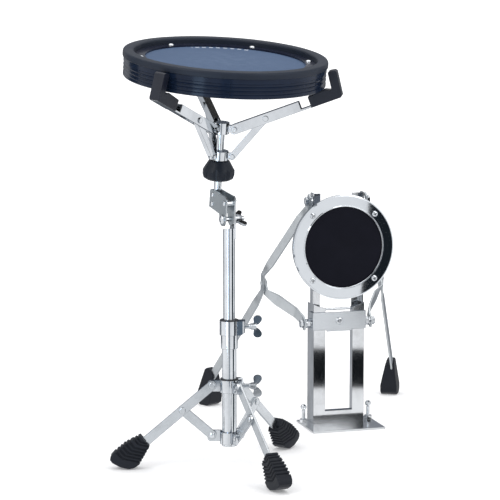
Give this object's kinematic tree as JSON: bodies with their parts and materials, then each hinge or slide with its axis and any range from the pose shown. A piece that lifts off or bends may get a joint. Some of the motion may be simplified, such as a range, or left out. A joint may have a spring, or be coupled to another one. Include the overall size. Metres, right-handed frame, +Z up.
{
  "type": "practice pad",
  "caption": "Drummer's practice pad set: a round snare pad gripped in a basket on a folding tripod stand, with a small upright kick pad on its own folding pressed-metal frame.",
  "frame": {"origin": "middle of the kick unit's base plate, on the floor", "axes": "+X to the kick pad's side, +Y away from the player, +Z up"},
  "size_m": [0.4196, 0.6398, 0.566],
  "materials": {
    "black_nylon": "satin",
    "board_wood": "pressed board",
    "boot_rubber": "matte moulded rubber",
    "bright_chrome": "bright plate",
    "brushed_crossbar": "fine satin plate",
    "foam_rubber": "closed-cell foam",
    "grip_rubber": "matte moulded rubber",
    "kick_rubber": "matte",
    "knob_plastic": "satin moulded",
    "leg_chrome": "bright plate",
    "playing_rubber": "fine matte texture",
    "rim_rubber": "matte",
    "ring_black": "gloss",
    "satin_bar": "satin zinc",
    "satin_bracket": "satin plate",
    "shell_gloss": "gloss navy black"
  },
  "bodies": {
    "stand": {"base_tube": "bright_chrome", "bottom_bracket": "bright_chrome", "bracket_rivets": "bright_chrome", "height_collar": "bright_chrome", "height_bush": "black_nylon"},
    "height_wing": {"height_wing_bolt": "bright_chrome"},
    "leg_collar": {"leg_collar": "bright_chrome", "leg_bush": "black_nylon"},
    "leg_wing": {"leg_wing_bolt": "bright_chrome"},
    "upper": {"upper_tube": "bright_chrome", "tilter_bolt": "bright_chrome"},
    "tilter_wing": {"tilter_wing_nut": "bright_chrome"},
    "basket": {"tilter_bracket": "satin_bracket", "tilter_rivets": "bright_chrome", "basket_rod": "bright_chrome", "basket_hub": "bright_chrome"},
    "spider": {"basket_spider": "bright_chrome"},
    "knob": {"basket_knob": "knob_plastic"},
    "pad": {"pad_shell": "shell_gloss", "pad_base_board": "board_wood", "pad_foam": "foam_rubber", "pad_playing_surface": "playing_rubber", "pad_retaining_ring": "ring_black", "pad_screws": "bright_chrome", "pad_rim": "rim_rubber"},
    "kick": {"kick_frame": "bright_chrome", "kick_base_plate": "bright_chrome", "kick_ring": "bright_chrome", "kick_face": "kick_rubber", "kick_cup": "bright_chrome", "kick_ring_screws": "bright_chrome", "kick_top_bolts": "bright_chrome"},
    "kick_crossbar": {"kick_crossbar": "brushed_crossbar", "kick_crossbar_fasteners": "bright_chrome"},
    "strut_a": {"strut_a": "leg_chrome"},
    "leg_a": {"leg_a": "leg_chrome", "foot_a": "boot_rubber"},
    "strut_b": {"strut_b": "leg_chrome"},
    "leg_b": {"leg_b": "leg_chrome", "foot_b": "boot_rubber"},
    "strut_c": {"strut_c": "leg_chrome"},
    "leg_c": {"leg_c": "leg_chrome", "foot_c": "boot_rubber"},
    "arm_a": {"basket_arm_a": "bright_chrome", "grip_a": "grip_rubber"},
    "basket_strut_a": {"basket_strut_a": "bright_chrome"},
    "arm_b": {"basket_arm_b": "bright_chrome", "grip_b": "grip_rubber"},
    "basket_strut_b": {"basket_strut_b": "bright_chrome"},
    "arm_c": {"basket_arm_c": "bright_chrome", "grip_c": "grip_rubber"},
    "basket_strut_c": {"basket_strut_c": "bright_chrome"},
    "kick_leg_l": {"kick_leg_l": "satin_bar", "kick_foot_l": "boot_rubber"},
    "kick_brace_l": {"kick_brace_l": "satin_bar"},
    "kick_spike_l": {"kick_spike_l": "bright_chrome"},
    "kick_leg_r": {"kick_leg_r": "satin_bar", "kick_foot_r": "boot_rubber"},
    "kick_brace_r": {"kick_brace_r": "satin_bar"},
    "kick_spike_r": {"kick_spike_r": "bright_chrome"}
  },
  "joints": [
    {"name": "leg_fold_a", "type": "hinge", "parent": "stand", "child": "strut_a", "pos_m": [-0.18176, -0.25239, 0.0445], "axis": [0, 1, 0], "range_deg": [0, 37]},
    {"name": "leg_pivot_a", "type": "hinge", "parent": "strut_a", "child": "leg_a", "pos_m": [-0.22074, -0.25239, 0.078], "axis": [0, 1, 0], "range_deg": [-74.01, 0.01]},
    {"name": "leg_fold_b", "type": "hinge", "parent": "stand", "child": "strut_b", "pos_m": [-0.14867, -0.27306, 0.0445], "axis": [-0.8988, -0.4384, 0], "range_deg": [0, 37]},
    {"name": "leg_pivot_b", "type": "hinge", "parent": "strut_b", "child": "leg_b", "pos_m": [-0.13159, -0.3081, 0.078], "axis": [-0.8988, -0.4384, 0], "range_deg": [-74.01, 0.01]},
    {"name": "leg_fold_c", "type": "hinge", "parent": "stand", "child": "strut_c", "pos_m": [-0.1454, -0.23366, 0.0445], "axis": [0.8141, -0.5807, 0], "range_deg": [0, 37]},
    {"name": "leg_pivot_c", "type": "hinge", "parent": "strut_c", "child": "leg_c", "pos_m": [-0.12276, -0.20193, 0.078], "axis": [0.8141, -0.5807, 0], "range_deg": [-74.01, 0.01]},
    {"name": "leg_collar_slide", "type": "slide", "parent": "stand", "child": "leg_collar", "axis": [0, 0, 1], "range_m": [-0.00001, 0.03344]},
    {"name": "leg_wing_turn", "type": "hinge", "parent": "leg_collar", "child": "leg_wing", "pos_m": [-0.15876, -0.25239, 0.1105], "axis": [1, 0, 0], "continuous": true},
    {"name": "height_wing_turn", "type": "hinge", "parent": "stand", "child": "height_wing", "pos_m": [-0.15876, -0.25239, 0.19], "axis": [1, 0, 0], "continuous": true},
    {"name": "height_slide", "type": "slide", "parent": "stand", "child": "upper", "axis": [0, 0, 1], "range_m": [-0.075, 0.03]},
    {"name": "tilt", "type": "hinge", "parent": "upper", "child": "basket", "pos_m": [-0.15876, -0.25239, 0.332], "axis": [0.8988, 0.4384, 0], "range_deg": [-30, 30]},
    {"name": "tilter_wing_turn", "type": "hinge", "parent": "upper", "child": "tilter_wing", "pos_m": [-0.15876, -0.25239, 0.332], "axis": [0.8988, 0.4384, 0], "continuous": true},
    {"name": "spider_slide", "type": "slide", "parent": "basket", "child": "spider", "axis": [0.064, -0.1313, 0.9893], "range_m": [-0.00826, 0.00001]},
    {"name": "knob_turn", "type": "hinge", "parent": "spider", "child": "knob", "pos_m": [-0.17236, -0.23135, 0.39632], "axis": [0.064, -0.1313, 0.9893], "range_deg": [-1985.33, 4]},
    {"name": "arm_open_a", "type": "hinge", "parent": "basket", "child": "arm_a", "pos_m": [-0.15113, -0.24122, 0.44873], "axis": [-0.1603, -0.9798, -0.1197], "range_deg": [-15.02, 0.03]},
    {"name": "basket_strut_turn_a", "type": "hinge", "parent": "arm_a", "child": "basket_strut_a", "pos_m": [-0.11055, -0.24969, 0.46368], "axis": [-0.1603, -0.9798, -0.1197], "range_deg": [-0.03, 11.36]},
    {"name": "arm_open_b", "type": "hinge", "parent": "basket", "child": "arm_b", "pos_m": [-0.17871, -0.25351, 0.44888], "axis": [-0.8346, 0.5364, 0.1252], "range_deg": [-15.02, 0.03]},
    {"name": "basket_strut_turn_b", "type": "hinge", "parent": "arm_b", "child": "basket_strut_b", "pos_m": [-0.19941, -0.28929, 0.46418], "axis": [-0.8346, 0.5364, 0.1252], "range_deg": [-0.03, 11.36]},
    {"name": "arm_open_c", "type": "hinge", "parent": "basket", "child": "arm_c", "pos_m": [-0.17523, -0.22187, 0.45286], "axis": [0.9332, 0.3592, -0.0127], "range_deg": [-15.02, 0.03]},
    {"name": "basket_strut_turn_c", "type": "hinge", "parent": "arm_c", "child": "basket_strut_c", "pos_m": [-0.18819, -0.18734, 0.47698], "axis": [0.9332, 0.3592, -0.0127], "range_deg": [-0.03, 11.36]},
    {"name": "pad_lift", "type": "slide", "parent": "basket", "child": "pad", "axis": [0.064, -0.1313, 0.9893], "range_m": [0, 0.12]},
    {"name": "kick_unit_placement", "type": "slide", "parent": "stand", "child": "kick", "axis": [1, 0, 0], "range_m": [0, 0.25]},
    {"name": "kick_leg_fold_l", "type": "hinge", "parent": "kick", "child": "kick_leg_l", "pos_m": [-0.04683, 0.00894, 0.326], "axis": [-0.9613, -0.2756, 0], "range_deg": [0, 10]},
    {"name": "kick_brace_turn_l", "type": "hinge", "parent": "kick_crossbar", "child": "kick_brace_l", "pos_m": [-0.05355, 0.00337, 0.149], "axis": [-0.9613, -0.2756, 0], "range_deg": [-21.23, 0.02]},
    {"name": "kick_spike_travel_l", "type": "slide", "parent": "kick", "child": "kick_spike_l", "axis": [0, 0, -1], "range_m": [0, 0.004]},
    {"name": "kick_leg_fold_r", "type": "hinge", "parent": "kick", "child": "kick_leg_r", "pos_m": [0.03497, 0.0324, 0.326], "axis": [-0.9613, -0.2756, 0], "range_deg": [0, 10]},
    {"name": "kick_brace_turn_r", "type": "hinge", "parent": "kick_crossbar", "child": "kick_brace_r", "pos_m": [0.04363, 0.03124, 0.149], "axis": [-0.9613, -0.2756, 0], "range_deg": [-21.23, 0.02]},
    {"name": "kick_spike_travel_r", "type": "slide", "parent": "kick", "child": "kick_spike_r", "axis": [0, 0, -1], "range_m": [0, 0.004]},
    {"name": "kick_crossbar_slide", "type": "slide", "parent": "kick", "child": "kick_crossbar", "axis": [0, 0, -1], "range_m": [-0.00001, 0.03122]}
  ],
  "couplings": [
    {"joint": "leg_pivot_a", "follows": "leg_fold_a", "ratio": -2},
    {"joint": "leg_fold_b", "follows": "leg_fold_a", "ratio": 1},
    {"joint": "leg_pivot_b", "follows": "leg_fold_a", "ratio": -2},
    {"joint": "leg_fold_c", "follows": "leg_fold_a", "ratio": 1},
    {"joint": "leg_pivot_c", "follows": "leg_fold_a", "ratio": -2},
    {"joint": "leg_collar_slide", "follows": "leg_fold_a", "m_per_rad": 0.051768},
    {"joint": "knob_turn", "follows": "spider_slide", "rad_per_m": 4188.8},
    {"joint": "arm_open_a", "follows": "spider_slide", "rad_per_m": 31.712},
    {"joint": "basket_strut_turn_a", "follows": "spider_slide", "rad_per_m": -23.979},
    {"joint": "arm_open_b", "follows": "spider_slide", "rad_per_m": 31.712},
    {"joint": "basket_strut_turn_b", "follows": "spider_slide", "rad_per_m": -23.979},
    {"joint": "arm_open_c", "follows": "spider_slide", "rad_per_m": 31.712},
    {"joint": "basket_strut_turn_c", "follows": "spider_slide", "rad_per_m": -23.979},
    {"joint": "kick_brace_turn_l", "follows": "kick_leg_fold_l", "ratio": -2.1207},
    {"joint": "kick_leg_fold_r", "follows": "kick_leg_fold_l", "ratio": 1},
    {"joint": "kick_brace_turn_r", "follows": "kick_leg_fold_l", "ratio": -2.1207},
    {"joint": "kick_crossbar_slide", "follows": "kick_leg_fold_l", "m_per_rad": 0.1788}
  ]
}
